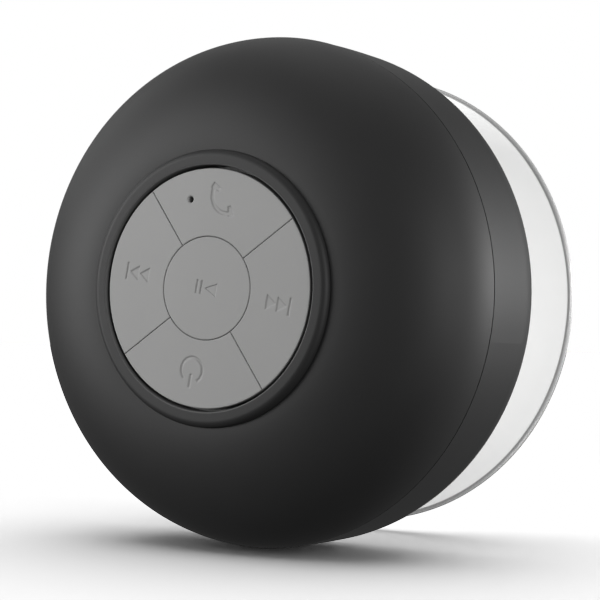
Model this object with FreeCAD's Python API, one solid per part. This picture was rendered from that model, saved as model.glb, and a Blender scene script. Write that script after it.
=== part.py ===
"""A round shower speaker on a suction cup: two domed shells, silicone keypad, driver and battery inside.

Millimetres. The origin is the centre of the suction cup's wall plane. The body's axis is Y: the wall plane
is y = 0, the keypad faces -Y, and +Z is up. Every turned shape is drawn as (radius, y) and turned about Y.
"""
import FreeCAD, Part
import math
import os

V = FreeCAD.Vector
AXIS = V(0, 1, 0)
CENTRE = V(0, 0, 0)

# Driving dimensions of the body
BODY_R = 42.7            # widest radius, on the rear shell
WALL = 2.1               # shell wall
PART_R = 42.4            # radius at the parting line
PART_Y = -38.0           # parting plane of the two shells
PART_GAP = 0.3           # width of the visible parting groove
PART_STEP = 0.5          # depth of the parting groove
WIDEST_Y = -25.7         # where the rear shell is widest
BACK_Y = -19.5           # flat back of the rear shell
BACK_CORNER_R = 39.1     # where the back's rounded corner meets the flat
BACK_IN_Y = BACK_Y - 2.2
RIM_IN_R = 39.0          # inside of both thickened rims
RIM_FOOT_Y = -41.5       # where the front rim's thickening ends
TONGUE_R, TONGUE_OUT_R, TONGUE_HIGH = 40.0, 40.9, 0.8   # tongue that presses on the seal
COLLAR_R = 22.07         # foot of the raised collar
COLLAR_Y = -53.14        # dome surface at the collar's foot
COLLAR_HIGH = 1.1        # crest of the collar above its foot
COLLAR_FLAT_R = 20.9     # outside of the collar's flat crest
COLLAR_LIP = 0.25        # small round on the collar's inner edge
SHOULDER_IN, SHOULDER_HIGH = 2.1, 11.95   # pole that shapes the dome's shoulder
BROW_R = 28.2            # pole that flattens the dome towards the collar
POST_END = -52.0         # the front shell's posts run into the dome up to here

# Keypad
PAD_R = 19.0
PAD_GAP = 0.5            # open ring between the pad and the collar
PAD_Y = -53.9            # front face of the keys
WEB_FRONT = -51.1        # inside face of the front shell round the pad
WEB_BACK = -50.3
KEY_GAP = 0.3            # groove between neighbouring keys
PLAY_R = 8.05
KEY_PITCH = 13.5         # centre of the outer keys' plungers
CLAMP_IN_R, CLAMP_OUT_R = 19.6, 21.6   # ring that clamps the web's rim
PLUNGER_R = 1.5
PLUNGER_END = -50.0
ICON_DEEP = 0.12         # icons are sunk this deep into the keys
ICON_FRONT, ICON_BACK = PAD_Y - 0.2, PAD_Y + ICON_DEEP
MIC_X, MIC_Z = -5.8, 13.3
MIC_HOLE_R = 0.5

# Key board and switches
BOARD_FRONT = -47.3
BOARD_THICK = 1.0
BOARD_R = 28.0
BOARD_SCREW_R = 25.5
BOARD_POST_R = 2.3
BOARD_ANGLES = (90, 210, 330)
SWITCH = 4.5
SWITCH_FRONT = -49.3
BUTTON_R = 1.0
BUTTON_LONG = 1.4

# Shell screws
SHELL_SCREW_R = 35.5
SHELL_ANGLES = (45, 135, 225, 315)
BOSS_R = 3.2
DRIVE_WIDE, DRIVE_HALF, DRIVE_DEEP = 0.62, 0.18, 0.5   # cross recess: share of the head, half width, depth

# Driver, a 40 mm cone that faces the back
MESH_Y = BACK_IN_Y - 0.4
FLANGE_FRONT = -23.7
FLANGE_BACK = -24.7
FLANGE_R = 20.4
EAR_R = 22.4
DRIVER_ANGLES = (0, 90, 180, 270)
PLATE_FRONT, PLATE_BACK = -31.9, -33.9
MAGNET_BACK = -37.9
YOKE_BACK = -39.7
POLE_R = 6.0
COIL_R = 6.5
CONE_TOP_R, CONE_TOP_Y = 13.6, -24.4
CONE_LOW_R, CONE_LOW_Y = 6.9, -29.2

# Sound slots in the back
SLOTS = 24
SLOT_IN_R, SLOT_OUT_R, SLOT_WIDE = 13.4, 18.8, 1.6

# Main board
MAIN_BACK = -28.0
MAIN_THICK = 1.2
MAIN_IN_R, MAIN_OUT_R = 24.6, 38.4
MAIN_SCREW_R = 30.5
MAIN_ANGLES = (20, 160, 238)

# Charging socket in the back, below the cup
PORT_Z = -28.2
PORT_WIDE, PORT_HIGH = 7.4, 2.6
TETHER_Z = -33.8

# Battery
BATTERY = (30.0, 4.8, 22.0)
BATTERY_FRONT = -45.8

# Suction cup and its bayonet hub
CUP_R = 41.0
CUP_EDGE = 1.4
STALK_R = 11.0
STALK_Y = -15.6
HUB_FRONT = -17.4
PEDESTAL_Y = -17.7
PEDESTAL_R = 11.5
POST_R = 6.0
LUG_R = 8.3
LUG_BACK, LUG_FRONT = -19.35, -20.75
LUG_ANGLES = (90, 210, 330)
LUG_HALF = 19.0
TRACK_FRONT, TRACK_BACK = -20.9, -19.2   # the bayonet track the lugs turn in
TWIST = 45.0


def line(a, b):
    return Part.makeLine(V(a[0], a[1], 0), V(b[0], b[1], 0))


def lines(points):
    return [line(a, b) for a, b in zip(points, points[1:])]


def bezier(poles):
    curve = Part.BezierCurve()
    curve.setPoles([V(r, y, 0) for r, y in poles])
    return curve.toShape()


def quarter(start, corner, end):
    """A quarter ellipse from start to end, tangent to the two sides that meet in corner."""
    k = 0.5523
    first = [s + k * (c - s) for s, c in zip(start, corner)]
    second = [e + k * (c - e) for e, c in zip(end, corner)]
    return bezier([start, first, second, end])


def turned(edges):
    """The solid made by turning a closed outline of (radius, y) edges about the Y axis."""
    face = Part.Face(Part.Wire(edges))
    solid = face.revolve(CENTRE, AXIS, 360)
    if solid.Volume < 0:
        solid.reverse()
    return solid


def ring(r_in, r_out, y0, y1):
    """A disc or flat ring between two depths."""
    low, high = min(y0, y1), max(y0, y1)
    outer = Part.makeCylinder(r_out, high - low, V(0, low, 0), AXIS)
    if r_in <= 0:
        return outer
    return outer.cut(Part.makeCylinder(r_in, high - low + 2, V(0, low - 1, 0), AXIS))


def rod(r, x, z, y0, y1):
    low, high = min(y0, y1), max(y0, y1)
    return Part.makeCylinder(r, high - low, V(x, low, z), AXIS)


def block(x0, x1, y0, y1, z0, z1):
    return Part.makeBox(x1 - x0, y1 - y0, z1 - z0, V(x0, y0, z0))


def spot(radius, degrees):
    """A point (x, z) at this angle, counted from +X towards +Z."""
    a = math.radians(degrees)
    return radius * math.cos(a), radius * math.sin(a)


def about_y(shape, degrees):
    """A copy turned from +X towards +Z."""
    out = shape.copy()
    out.rotate(CENTRE, V(0, -1, 0), degrees)
    return out


def prism(outline, y0, y1):
    """A straight prism from an outline of (x, z) points."""
    low, high = min(y0, y1), max(y0, y1)
    points = [V(x, low, z) for x, z in outline]
    face = Part.Face(Part.makePolygon(points + points[:1]))
    return face.extrude(V(0, high - low, 0))


def sector(r_in, r_out, a0, a1, y0, y1):
    """A slice of a flat ring between two angles."""
    a_mid = (a0 + a1) / 2
    low, high = min(y0, y1), max(y0, y1)

    def at(radius, degrees):
        x, z = spot(radius, degrees)
        return V(x, low, z)

    wire = Part.Wire([
        Part.Arc(at(r_out, a0), at(r_out, a_mid), at(r_out, a1)).toShape(),
        Part.makeLine(at(r_out, a1), at(r_in, a1)),
        Part.Arc(at(r_in, a1), at(r_in, a_mid), at(r_in, a0)).toShape(),
        Part.makeLine(at(r_in, a0), at(r_out, a0)),
    ])
    return Part.Face(wire).extrude(V(0, high - low, 0))


def screw(x, z, seat, tip, shank_r, head_r, head_high):
    """A pan-head screw: its head's underside is at seat, and its tip lies at the other end."""
    out = 1 if seat > tip else -1
    body = rod(shank_r, x, z, seat, tip)
    head = rod(head_r, x, z, seat, seat + out * head_high)
    top = seat + out * head_high
    low, high = sorted((top, top - out * DRIVE_DEEP))
    slot = head_r * DRIVE_WIDE
    cross = block(x - slot, x + slot, low, high, z - DRIVE_HALF, z + DRIVE_HALF)
    cross = cross.fuse(block(x - DRIVE_HALF, x + DRIVE_HALF, low, high, z - slot, z + slot))
    return body.fuse(head).cut(cross)


def dome_poles(inset):
    """The dome's outline from the parting line to the collar's foot, moved inwards by inset."""
    return [
        (PART_R - inset, PART_Y - PART_GAP / 2),
        (PART_R - SHOULDER_IN - inset * 0.9, PART_Y - SHOULDER_HIGH + inset * 0.45),
        (BROW_R - inset * 0.3, COLLAR_Y - 0.05 + inset),
        (COLLAR_R, COLLAR_Y + inset),
    ]


def dome_solid(inset):
    """The space in front of the parting plane, under the dome moved inwards by inset."""
    poles = dome_poles(inset)
    edges = [bezier(poles)] + lines([poles[3], (0, poles[3][1]), (0, poles[0][1]), poles[0]])
    return turned(edges)


def front_shell():
    poles = dome_poles(0)
    inner = dome_poles(WALL)
    inner[0] = (PART_R - WALL, RIM_FOOT_Y)
    inner[3] = (COLLAR_R, WEB_FRONT)
    inner[2] = (BROW_R, WEB_FRONT)
    hole_r = PAD_R + PAD_GAP
    crest_r = hole_r + COLLAR_LIP
    crest_y = COLLAR_Y - COLLAR_HIGH
    lip_y = crest_y + COLLAR_LIP
    groove_y = PART_Y - PART_GAP / 2
    edges = [bezier(poles)]
    edges.append(quarter(poles[3], (COLLAR_R, crest_y), (COLLAR_FLAT_R, crest_y)))
    edges.append(line((COLLAR_FLAT_R, crest_y), (crest_r, crest_y)))
    edges.append(quarter((crest_r, crest_y), (hole_r, crest_y), (hole_r, lip_y)))
    edges += lines([(hole_r, lip_y), (hole_r, WEB_FRONT), inner[3]])
    edges.append(bezier(inner[::-1]))
    edges += lines([
        inner[0], (RIM_IN_R, RIM_FOOT_Y + 1), (RIM_IN_R, PART_Y),
        (TONGUE_R, PART_Y), (TONGUE_R, PART_Y + TONGUE_HIGH), (TONGUE_OUT_R, PART_Y + TONGUE_HIGH),
        (TONGUE_OUT_R, PART_Y), (PART_R - PART_STEP, PART_Y), (PART_R - PART_STEP, groove_y), poles[0],
    ])
    shell = turned(edges)
    posts = []
    for angle in SHELL_ANGLES:
        x, z = spot(SHELL_SCREW_R, angle)
        posts.append(rod(BOSS_R, x, z, PART_Y - 0.3, POST_END))
    for angle in BOARD_ANGLES:
        x, z = spot(BOARD_SCREW_R, angle)
        posts.append(rod(BOARD_POST_R, x, z, BOARD_FRONT, POST_END))
    limit = dome_solid(WALL / 2)
    shell = shell.fuse([post.common(limit) for post in posts])
    holes = []
    for angle in SHELL_ANGLES:
        x, z = spot(SHELL_SCREW_R, angle)
        holes.append(rod(1.15, x, z, PART_Y + 1, PART_Y - 7.0))
    for angle in BOARD_ANGLES:
        x, z = spot(BOARD_SCREW_R, angle)
        holes.append(rod(0.9, x, z, BOARD_FRONT + 1, BOARD_FRONT - 3.2))
    return shell.cut(holes)


def rear_outer():
    """The rear shell's outer form, filled in, with the pedestal that the hub faces."""
    start = (PART_R, PART_Y + PART_GAP / 2)
    widest = (BODY_R, WIDEST_Y)
    edges = [bezier([start, (BODY_R, PART_Y + 6), widest])]
    edges.append(quarter(widest, (BODY_R, BACK_Y), (BACK_CORNER_R, BACK_Y)))
    edges += lines([
        (BACK_CORNER_R, BACK_Y), (PEDESTAL_R + 0.6, BACK_Y), (PEDESTAL_R, BACK_Y + 0.6),
        (PEDESTAL_R, PEDESTAL_Y), (0, PEDESTAL_Y), (0, PART_Y), (PART_R - PART_STEP, PART_Y),
        (PART_R - PART_STEP, start[1]), start,
    ])
    return turned(edges)


def rear_inner():
    """The rear shell's hollow."""
    side = BODY_R - WALL - 0.1
    corner = BACK_CORNER_R - 1.8
    edges = lines([(0, PART_Y - 1), (RIM_IN_R, PART_Y - 1), (RIM_IN_R, PART_Y + 3), (side, PART_Y + 4.5),
                   (side, WIDEST_Y)])
    edges.append(quarter((side, WIDEST_Y), (side, BACK_IN_Y), (corner, BACK_IN_Y)))
    edges += lines([(corner, BACK_IN_Y), (0, BACK_IN_Y), (0, PART_Y - 1)])
    return turned(edges)


def rear_shell():
    shell = rear_outer().cut(rear_inner())
    seal_groove = ring(TONGUE_R - 0.1, TONGUE_OUT_R + 0.1, PART_Y - 0.5, PART_Y + 2 * TONGUE_HIGH)
    shell = shell.cut(seal_groove)
    added = [ring(0, 10.3, BACK_IN_Y, -22.4)]
    for angle in SHELL_ANGLES:
        x, z = spot(SHELL_SCREW_R, angle)
        added.append(rod(BOSS_R, x, z, PART_Y, BACK_IN_Y + 0.3))
    for angle in DRIVER_ANGLES:
        x, z = spot(EAR_R, angle)
        added.append(rod(1.9, x, z, FLANGE_FRONT, BACK_IN_Y + 0.3))
    for angle in MAIN_ANGLES:
        x, z = spot(MAIN_SCREW_R, angle)
        added.append(rod(2.2, x, z, MAIN_BACK, BACK_IN_Y + 0.3))
    shell = shell.fuse(added)
    cuts = [ring(0, POST_R + 0.2, PEDESTAL_Y + 1, TRACK_FRONT)]
    for angle in LUG_ANGLES:
        slot = angle - TWIST
        first, last = slot - LUG_HALF - 3, slot + LUG_HALF + 3
        cuts.append(sector(POST_R - 1, LUG_R + 0.25, first, last, PEDESTAL_Y + 1, TRACK_FRONT))
        cuts.append(sector(POST_R - 1, LUG_R + 0.25, first, angle + LUG_HALF + 1, TRACK_BACK, TRACK_FRONT))
    for i in range(SLOTS):
        slot = block(SLOT_IN_R, SLOT_OUT_R, BACK_IN_Y - 1, BACK_Y + 1, -SLOT_WIDE / 2, SLOT_WIDE / 2)
        cuts.append(about_y(slot, (i + 0.5) * 360 / SLOTS))
    for angle in SHELL_ANGLES:
        x, z = spot(SHELL_SCREW_R, angle)
        cuts.append(rod(2.5, x, z, BACK_Y + 1, -24.0))
        cuts.append(rod(1.45, x, z, -23.5, PART_Y - 1))
    for angle in DRIVER_ANGLES:
        x, z = spot(EAR_R, angle)
        cuts.append(rod(0.85, x, z, FLANGE_FRONT - 1, BACK_Y - 0.9))
    for angle in MAIN_ANGLES:
        x, z = spot(MAIN_SCREW_R, angle)
        cuts.append(rod(0.85, x, z, MAIN_BACK - 1, MAIN_BACK + 4.5))
    cuts.append(block(-4.2, 4.2, BACK_IN_Y - 1, BACK_Y + 1, PORT_Z - 1.9, PORT_Z + 1.9))
    cuts.append(block(-5.2, 5.2, BACK_Y - 1.0, BACK_Y + 1, -36.3, -24.3))
    cuts.append(rod(1.1, 0, -35.1, BACK_IN_Y - 1, BACK_Y))
    return shell.cut(cuts)


def shell_seal():
    return ring(TONGUE_R, TONGUE_OUT_R, PART_Y + TONGUE_HIGH, PART_Y + 2 * TONGUE_HIGH)


def shell_screws():
    return [screw(*spot(SHELL_SCREW_R, a), -24.0, PART_Y - 6.0, 1.15, 2.2, 1.6) for a in SHELL_ANGLES]


def play_key():
    cap = ring(0, PLAY_R, PAD_Y, WEB_FRONT)
    return cap.fuse(rod(PLUNGER_R, 0, 0, WEB_FRONT, PLUNGER_END))


def outer_key(angle):
    """One quarter of the pad's outer ring, between two diagonal grooves."""
    cap = ring(PLAY_R + KEY_GAP, PAD_R, PAD_Y, WEB_FRONT)
    cross = []
    for turn in (45, 135):
        bar = block(-PAD_R - 1, PAD_R + 1, PAD_Y - 1, WEB_FRONT + 1, -KEY_GAP / 2, KEY_GAP / 2)
        cross.append(about_y(bar, turn))
    x, z = spot(KEY_PITCH, angle)
    for piece in cap.cut(cross).Solids:
        middle = piece.CenterOfMass
        if middle.x * x + middle.z * z > 100:
            return piece.fuse(rod(PLUNGER_R, x, z, WEB_FRONT, PLUNGER_END))
    raise ValueError("no key at this angle")


def rounded(key):
    """Soft edges round the front face of a key."""
    edges = [e for e in key.Edges
             if abs(e.BoundBox.YMin - PAD_Y) < 1e-6 and abs(e.BoundBox.YMax - PAD_Y) < 1e-6]
    return key.makeFillet(0.3, edges)


def stamp(outline):
    """A cutter for one flat-sided piece of an icon."""
    return prism(outline, ICON_FRONT, ICON_BACK)


def play_icon():
    """Two bars, then a triangle that points left towards them."""
    bars = [block(x - 0.2, x + 0.2, ICON_FRONT, ICON_BACK, -1.15, 1.15) for x in (-1.8, -0.95)]
    return bars + [stamp([(-0.35, 0), (2.0, 1.15), (2.0, -1.15)])]


def skip_icon(direction):
    """Two triangles and a bar, for next (1) or previous (-1)."""
    x = direction * KEY_PITCH
    pieces = []
    for start in (-2.2, -0.2):
        base = x + direction * start
        tip = x + direction * (start + 1.9)
        pieces.append(stamp([(base, 1.3), (tip, 0), (base, -1.3)]))
    end = x + direction * 2.15
    pieces.append(block(end - 0.22, end + 0.22, ICON_FRONT, ICON_BACK, -1.45, 1.45))
    return pieces


def phone_icon():
    """A tilted handset: a curved handle with a wider piece at each end."""
    middle = V(1.0, 0, 15.0)
    pieces = [sector(2.5, 3.2, 165, 285, ICON_FRONT, ICON_BACK)]
    for angle in (158, 292):
        pieces.append(sector(1.7, 3.4, angle - 11, angle + 11, ICON_FRONT, ICON_BACK))
    for piece in pieces:
        piece.translate(middle)
    return pieces


def power_icon():
    """A broken ring with a bar through the break, which faces the pad's edge."""
    z = -KEY_PITCH + 0.3
    arc = sector(1.75, 2.25, -52, 232, ICON_FRONT, ICON_BACK)
    arc.translate(V(0, 0, z))
    return [arc, block(-0.24, 0.24, ICON_FRONT, ICON_BACK, z - 2.9, z - 0.6)]


def call_key():
    key = rounded(outer_key(90)).cut(phone_icon())
    return key.cut(rod(MIC_HOLE_R, MIC_X, MIC_Z, PAD_Y - 1, WEB_FRONT + 1))


def keypad_membrane():
    """The web behind the keys, with a rim that is clamped to the shell and a sleeve hole per plunger."""
    web = ring(0, CLAMP_OUT_R, WEB_FRONT, WEB_BACK)
    holes = [rod(PLUNGER_R + 0.1, 0, 0, WEB_FRONT - 1, WEB_BACK + 1)]
    for angle in (0, 90, 180, 270):
        x, z = spot(KEY_PITCH, angle)
        holes.append(rod(PLUNGER_R + 0.1, x, z, WEB_FRONT - 1, WEB_BACK + 1))
    holes.append(rod(MIC_HOLE_R, MIC_X, MIC_Z, WEB_FRONT - 1, WEB_BACK + 1))
    return web.cut(holes)


def key_clamp_ring():
    """A flanged ring that the key board presses onto the web's rim."""
    body = ring(CLAMP_IN_R, CLAMP_OUT_R, WEB_BACK, BOARD_FRONT)
    return body.fuse(ring(CLAMP_IN_R, CLAMP_OUT_R + 1.4, BOARD_FRONT - 1.0, BOARD_FRONT))


def key_spots():
    return [(0.0, 0.0)] + [spot(KEY_PITCH, a) for a in (90, 180, 0, 270)]


def switch_bodies():
    shapes = []
    half = SWITCH / 2
    for x, z in key_spots():
        body = block(x - half, x + half, SWITCH_FRONT, BOARD_FRONT, z - half, z + half)
        shapes.append(body.cut(rod(BUTTON_R + 0.1, x, z, SWITCH_FRONT - 1, SWITCH_FRONT + 1.4)))
    return shapes


def switch_button(x, z):
    return rod(BUTTON_R, x, z, PLUNGER_END, PLUNGER_END + BUTTON_LONG)


def key_board():
    board = ring(0, BOARD_R, BOARD_FRONT, BOARD_FRONT + BOARD_THICK)
    holes = []
    for angle in BOARD_ANGLES:
        x, z = spot(BOARD_SCREW_R, angle)
        holes.append(rod(1.1, x, z, BOARD_FRONT - 1, BOARD_FRONT + 2))
    return board.cut(holes)


def key_board_screws():
    seat = BOARD_FRONT + BOARD_THICK
    return [screw(*spot(BOARD_SCREW_R, a), seat, BOARD_FRONT - 3.0, 0.9, 1.7, 1.0) for a in BOARD_ANGLES]


def microphone():
    return rod(1.7, MIC_X, MIC_Z, BOARD_FRONT, BOARD_FRONT - 1.3)


def microphone_boot():
    """A soft tube that leads sound from the web's hole to the capsule and wraps it."""
    outer = rod(2.3, MIC_X, MIC_Z, BOARD_FRONT, WEB_BACK)
    return outer.cut([rod(1.7, MIC_X, MIC_Z, BOARD_FRONT + 1, BOARD_FRONT - 1.3),
                      rod(0.6, MIC_X, MIC_Z, BOARD_FRONT, WEB_BACK - 1)])


def battery():
    x, y, z = BATTERY
    cell = block(-x / 2, x / 2, BATTERY_FRONT, BATTERY_FRONT + y, -z / 2, z / 2)
    edges = [e for e in cell.Edges if e.BoundBox.ZLength > 1]
    cell = cell.makeFillet(1.6, edges)
    top = block(-x / 2 + 1, x / 2 - 1, BATTERY_FRONT + 1.9, BATTERY_FRONT + 2.9, z / 2, z / 2 + 2.0)
    return cell.fuse(top)


def battery_pad():
    x, y, z = BATTERY
    return block(-x / 2 + 2, x / 2 - 2, BOARD_FRONT + BOARD_THICK, BATTERY_FRONT, -z / 2 + 1, z / 2 - 1)


def driver_frame():
    """Stamped basket: flange with four ears, windowed cone wall and the ring that carries the magnet."""
    basket = turned(lines([
        (16.9, FLANGE_FRONT), (FLANGE_R, FLANGE_FRONT), (FLANGE_R, FLANGE_BACK), (18.1, FLANGE_BACK),
        (13.8, PLATE_FRONT + 0.1), (13.8, PLATE_FRONT), (8.6, PLATE_FRONT), (8.6, PLATE_FRONT + 0.8),
        (12.6, PLATE_FRONT + 0.8), (12.9, -30.8), (12.9, -30.1), (13.6, -30.1), (16.9, FLANGE_BACK - 0.1),
        (16.9, FLANGE_FRONT),
    ]))
    ears = []
    holes = []
    for angle in DRIVER_ANGLES:
        x, z = spot(EAR_R, angle)
        ears.append(rod(2.0, x, z, FLANGE_FRONT, FLANGE_BACK))
        arm = block(FLANGE_R - 1.5, EAR_R, FLANGE_BACK, FLANGE_FRONT, -2.0, 2.0)
        ears.append(about_y(arm, angle))
        holes.append(rod(1.1, x, z, FLANGE_FRONT + 1, FLANGE_BACK - 1))
        holes.append(sector(13.0, 19, angle + 12, angle + 78, -29.9, FLANGE_BACK - 0.5))
    return basket.fuse(ears).cut(holes)


def front_plate():
    return ring(7.4, 12.5, PLATE_FRONT, PLATE_BACK)


def driver_magnet():
    return ring(8.4, 13.0, PLATE_BACK, MAGNET_BACK)


def yoke():
    return ring(0, 12.5, MAGNET_BACK, YOKE_BACK).fuse(ring(0, POLE_R, PLATE_FRONT, MAGNET_BACK))


def driver_cone():
    thick = 0.4
    return turned(lines([
        (CONE_LOW_R, CONE_LOW_Y), (CONE_LOW_R, CONE_LOW_Y - thick), (CONE_TOP_R, CONE_TOP_Y - thick),
        (CONE_TOP_R, CONE_TOP_Y), (CONE_LOW_R, CONE_LOW_Y),
    ]))


def dust_cap():
    """A shallow dome over the voice coil, glued to the cone."""
    rim_y = CONE_LOW_Y + 0.45
    edges = [quarter((7.53, rim_y), (7.2, rim_y + 1.9), (0, rim_y + 2.0))]
    edges += lines([(0, rim_y + 2.0), (0, rim_y + 1.7)])
    edges.append(quarter((0, rim_y + 1.7), (6.9, rim_y + 1.6), (7.15, rim_y - 0.27)))
    edges += lines([(7.15, rim_y - 0.27), (7.53, rim_y)])
    return turned(edges)


def voice_coil():
    former = ring(COIL_R, COIL_R + 0.2, CONE_LOW_Y - 0.3, -35.0)
    collar = ring(COIL_R, CONE_LOW_R, CONE_LOW_Y - 0.4, CONE_LOW_Y)
    winding = ring(COIL_R + 0.15, COIL_R + 0.5, -31.7, -34.8)
    return former.fuse([collar, winding])


def driver_surround():
    """Half-roll rubber edge between the cone and the flange."""
    inner, outer, base, thick = CONE_TOP_R, 16.9, CONE_TOP_Y, 0.35
    mid = (inner + outer) / 2
    top = base + 1.0
    edges = lines([(outer, base), (outer, base - thick), (outer - thick, base - thick)])
    edges.append(quarter((outer - thick, base - thick), (outer - thick, top - thick), (mid, top - thick)))
    edges.append(quarter((mid, top - thick), (inner + thick, top - thick), (inner + thick, base - thick)))
    edges += lines([(inner + thick, base - thick), (inner, base - thick), (inner, base)])
    edges.append(quarter((inner, base), (inner + 0.05, top), (mid, top)))
    edges.append(quarter((mid, top), (outer - 0.05, top), (outer, base)))
    return turned(edges)


def driver_spider():
    """Corrugated cloth disc that centres the voice coil."""
    inner, outer, y, thick = COIL_R + 0.2, 12.9, -30.3, 0.25
    waves = 5
    step = (outer - inner) / (2 * waves)
    crests = [(inner + i * step, y + (0.35 if i % 2 else 0)) for i in range(2 * waves + 1)]
    under = [(r, d - thick) for r, d in crests]
    return turned(lines(crests + under[::-1] + crests[:1]))


def driver_gasket():
    return ring(17.4, FLANGE_R, FLANGE_FRONT, MESH_Y)


def driver_screws():
    return [screw(*spot(EAR_R, a), FLANGE_BACK, -20.7, 0.85, 1.6, 1.0) for a in DRIVER_ANGLES]


def sound_mesh():
    return ring(12.0, FLANGE_R, MESH_Y, BACK_IN_Y)


def main_board():
    """A ring-shaped board round the driver, notched for the shell's screw pillars and open at one side."""
    front = MAIN_BACK - MAIN_THICK
    board = ring(MAIN_IN_R, MAIN_OUT_R, front, MAIN_BACK)
    cuts = [sector(MAIN_IN_R - 2, MAIN_OUT_R + 2, 75, 105, front - 1, MAIN_BACK + 1)]
    for angle in SHELL_ANGLES:
        cuts.append(rod(BOSS_R + 0.6, *spot(SHELL_SCREW_R, angle), front - 1, MAIN_BACK + 1))
    for angle in MAIN_ANGLES:
        cuts.append(rod(1.1, *spot(MAIN_SCREW_R, angle), front - 1, MAIN_BACK + 1))
    return board.cut(cuts)


def main_board_screws():
    seat = MAIN_BACK - MAIN_THICK
    return [screw(*spot(MAIN_SCREW_R, a), seat, MAIN_BACK + 4.0, 0.85, 1.6, 1.0) for a in MAIN_ANGLES]


def radio_module():
    """The wireless chip's can on the main board's front side."""
    top = MAIN_BACK - MAIN_THICK
    return block(-37.0, -26.0, top - 1.8, top, -5.0, 5.0)


def charging_socket():
    """Upright micro connector: a thin steel shell round a tongue."""
    w, h = PORT_WIDE / 2, PORT_HIGH / 2
    outer = block(-w, w, MAIN_BACK, BACK_IN_Y + 0.7, PORT_Z - h, PORT_Z + h)
    inner = block(-w + 0.3, w - 0.3, MAIN_BACK + 1.2, BACK_IN_Y + 2, PORT_Z - h + 0.3, PORT_Z + h - 0.3)
    tongue = block(-1.9, 1.9, MAIN_BACK + 1.0, BACK_IN_Y + 0.2, PORT_Z - 0.3, PORT_Z + 0.3)
    return outer.cut(inner).fuse(tongue)


def port_plug():
    """The lid of the charging port with the lip that fills the opening and a nail ridge."""
    lid = block(-4.9, 4.9, BACK_Y - 0.95, BACK_Y, TETHER_Z + 0.2, -24.6)
    lip = block(-3.9, 3.9, BACK_Y - 1.4, BACK_Y - 0.9, PORT_Z - 1.4, PORT_Z + 1.4)
    ridge = block(-2.5, 2.5, BACK_Y - 0.1, BACK_Y + 0.6, -25.7, -24.9)
    return lid.fuse([lip, ridge])


def plug_tether():
    """The plug's fixed end: a strip pinned through the shell by a stem with a wider end."""
    strip = block(-4.9, 4.9, BACK_Y - 1.0, BACK_Y, -36.1, TETHER_Z)
    stem = rod(1.0, 0, -35.1, BACK_Y - 1.0, BACK_IN_Y - 0.9)
    barb = rod(1.5, 0, -35.1, BACK_IN_Y - 0.1, BACK_IN_Y - 0.9)
    return strip.fuse([stem, barb])


def suction_cup():
    """A soft cup: a thick stalk that widens into a thin conical skirt with a flat sealing lip."""
    edge = CUP_EDGE / 2
    edges = lines([(0, -12.0), (0, -6.5)])
    edges.append(bezier([(0, -6.5), (18, -6.5), (31, -3.6), (CUP_R - 2.2, 0)]))
    edges += lines([(CUP_R - 2.2, 0), (CUP_R - edge, 0)])
    edges.append(quarter((CUP_R - edge, 0), (CUP_R, 0), (CUP_R, -edge)))
    edges.append(quarter((CUP_R, -edge), (CUP_R, -CUP_EDGE), (CUP_R - edge, -CUP_EDGE)))
    edges.append(bezier([(CUP_R - edge, -CUP_EDGE), (33, -3.3), (22, -8.6), (13.4, -10.6)]))
    edges.append(bezier([(13.4, -10.6), (STALK_R, -11.3), (STALK_R, -13.0)]))
    edges += lines([
        (STALK_R, -13.0), (STALK_R, STALK_Y), (7.0, STALK_Y), (7.0, -13.2), (8.4, -13.2), (8.4, -12.0),
        (0, -12.0),
    ])
    return turned(edges)


def cup_hub():
    """Rigid hub moulded into the stalk, with a post and three lugs that twist into the rear shell."""
    hub = turned(lines([
        (0, -12.0), (8.4, -12.0), (8.4, -13.2), (7.0, -13.2), (7.0, STALK_Y), (STALK_R, STALK_Y),
        (STALK_R, HUB_FRONT), (POST_R, HUB_FRONT), (POST_R, LUG_FRONT), (0, LUG_FRONT), (0, -12.0),
    ]))
    lugs = [sector(POST_R - 1, LUG_R, a - LUG_HALF, a + LUG_HALF, LUG_BACK, LUG_FRONT) for a in LUG_ANGLES]
    return hub.fuse(lugs)


def lead(points, radius, bend):
    """A wire along straight runs joined by arcs that are tangent to both runs."""
    points = [V(*p) for p in points]
    edges = []
    start = points[0]
    for before, corner, after in zip(points, points[1:], points[2:]):
        a = (before - corner).normalize()
        b = (after - corner).normalize()
        half = a.getAngle(b) / 2
        reach = bend / math.tan(half)
        first, last = corner + a * reach, corner + b * reach
        middle = corner + (a + b).normalize() * (bend / math.sin(half) - bend)
        edges.append(Part.makeLine(start, first))
        edges.append(Part.Arc(first, middle, last).toShape())
        start = last
    edges.append(Part.makeLine(start, points[-1]))
    section = Part.Wire(Part.makeCircle(radius, points[0], points[1] - points[0]))
    return Part.Wire(edges).makePipeShell([section], True, False)


def battery_leads():
    """Two wires from the cell's top edge, over the driver, to the main board."""
    top = BATTERY[2] / 2 + 2.0
    depth = BATTERY_FRONT + 2.4
    route = [(-8, depth, top), (-8, depth, top + 15), (-8, MAIN_BACK - MAIN_THICK, top + 15)]
    first = lead(route, 0.5, 3.0)
    second = first.copy()
    second.translate(V(-1.4, 0, 0))
    return [first, second]


def speaker_leads():
    """Two short wires from the side of the driver's basket to the main board's back face."""
    wires = []
    for z in (1.0, -1.0):
        route = [(-15.6, -27.0, z), (-26.2, -27.0, z), (-26.2, MAIN_BACK, z)]
        outside = lead(route, 0.4, 0.6).cut(driver_frame()).Solids
        wires.append(max(outside, key=lambda piece: piece.Volume))
    return wires


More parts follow.
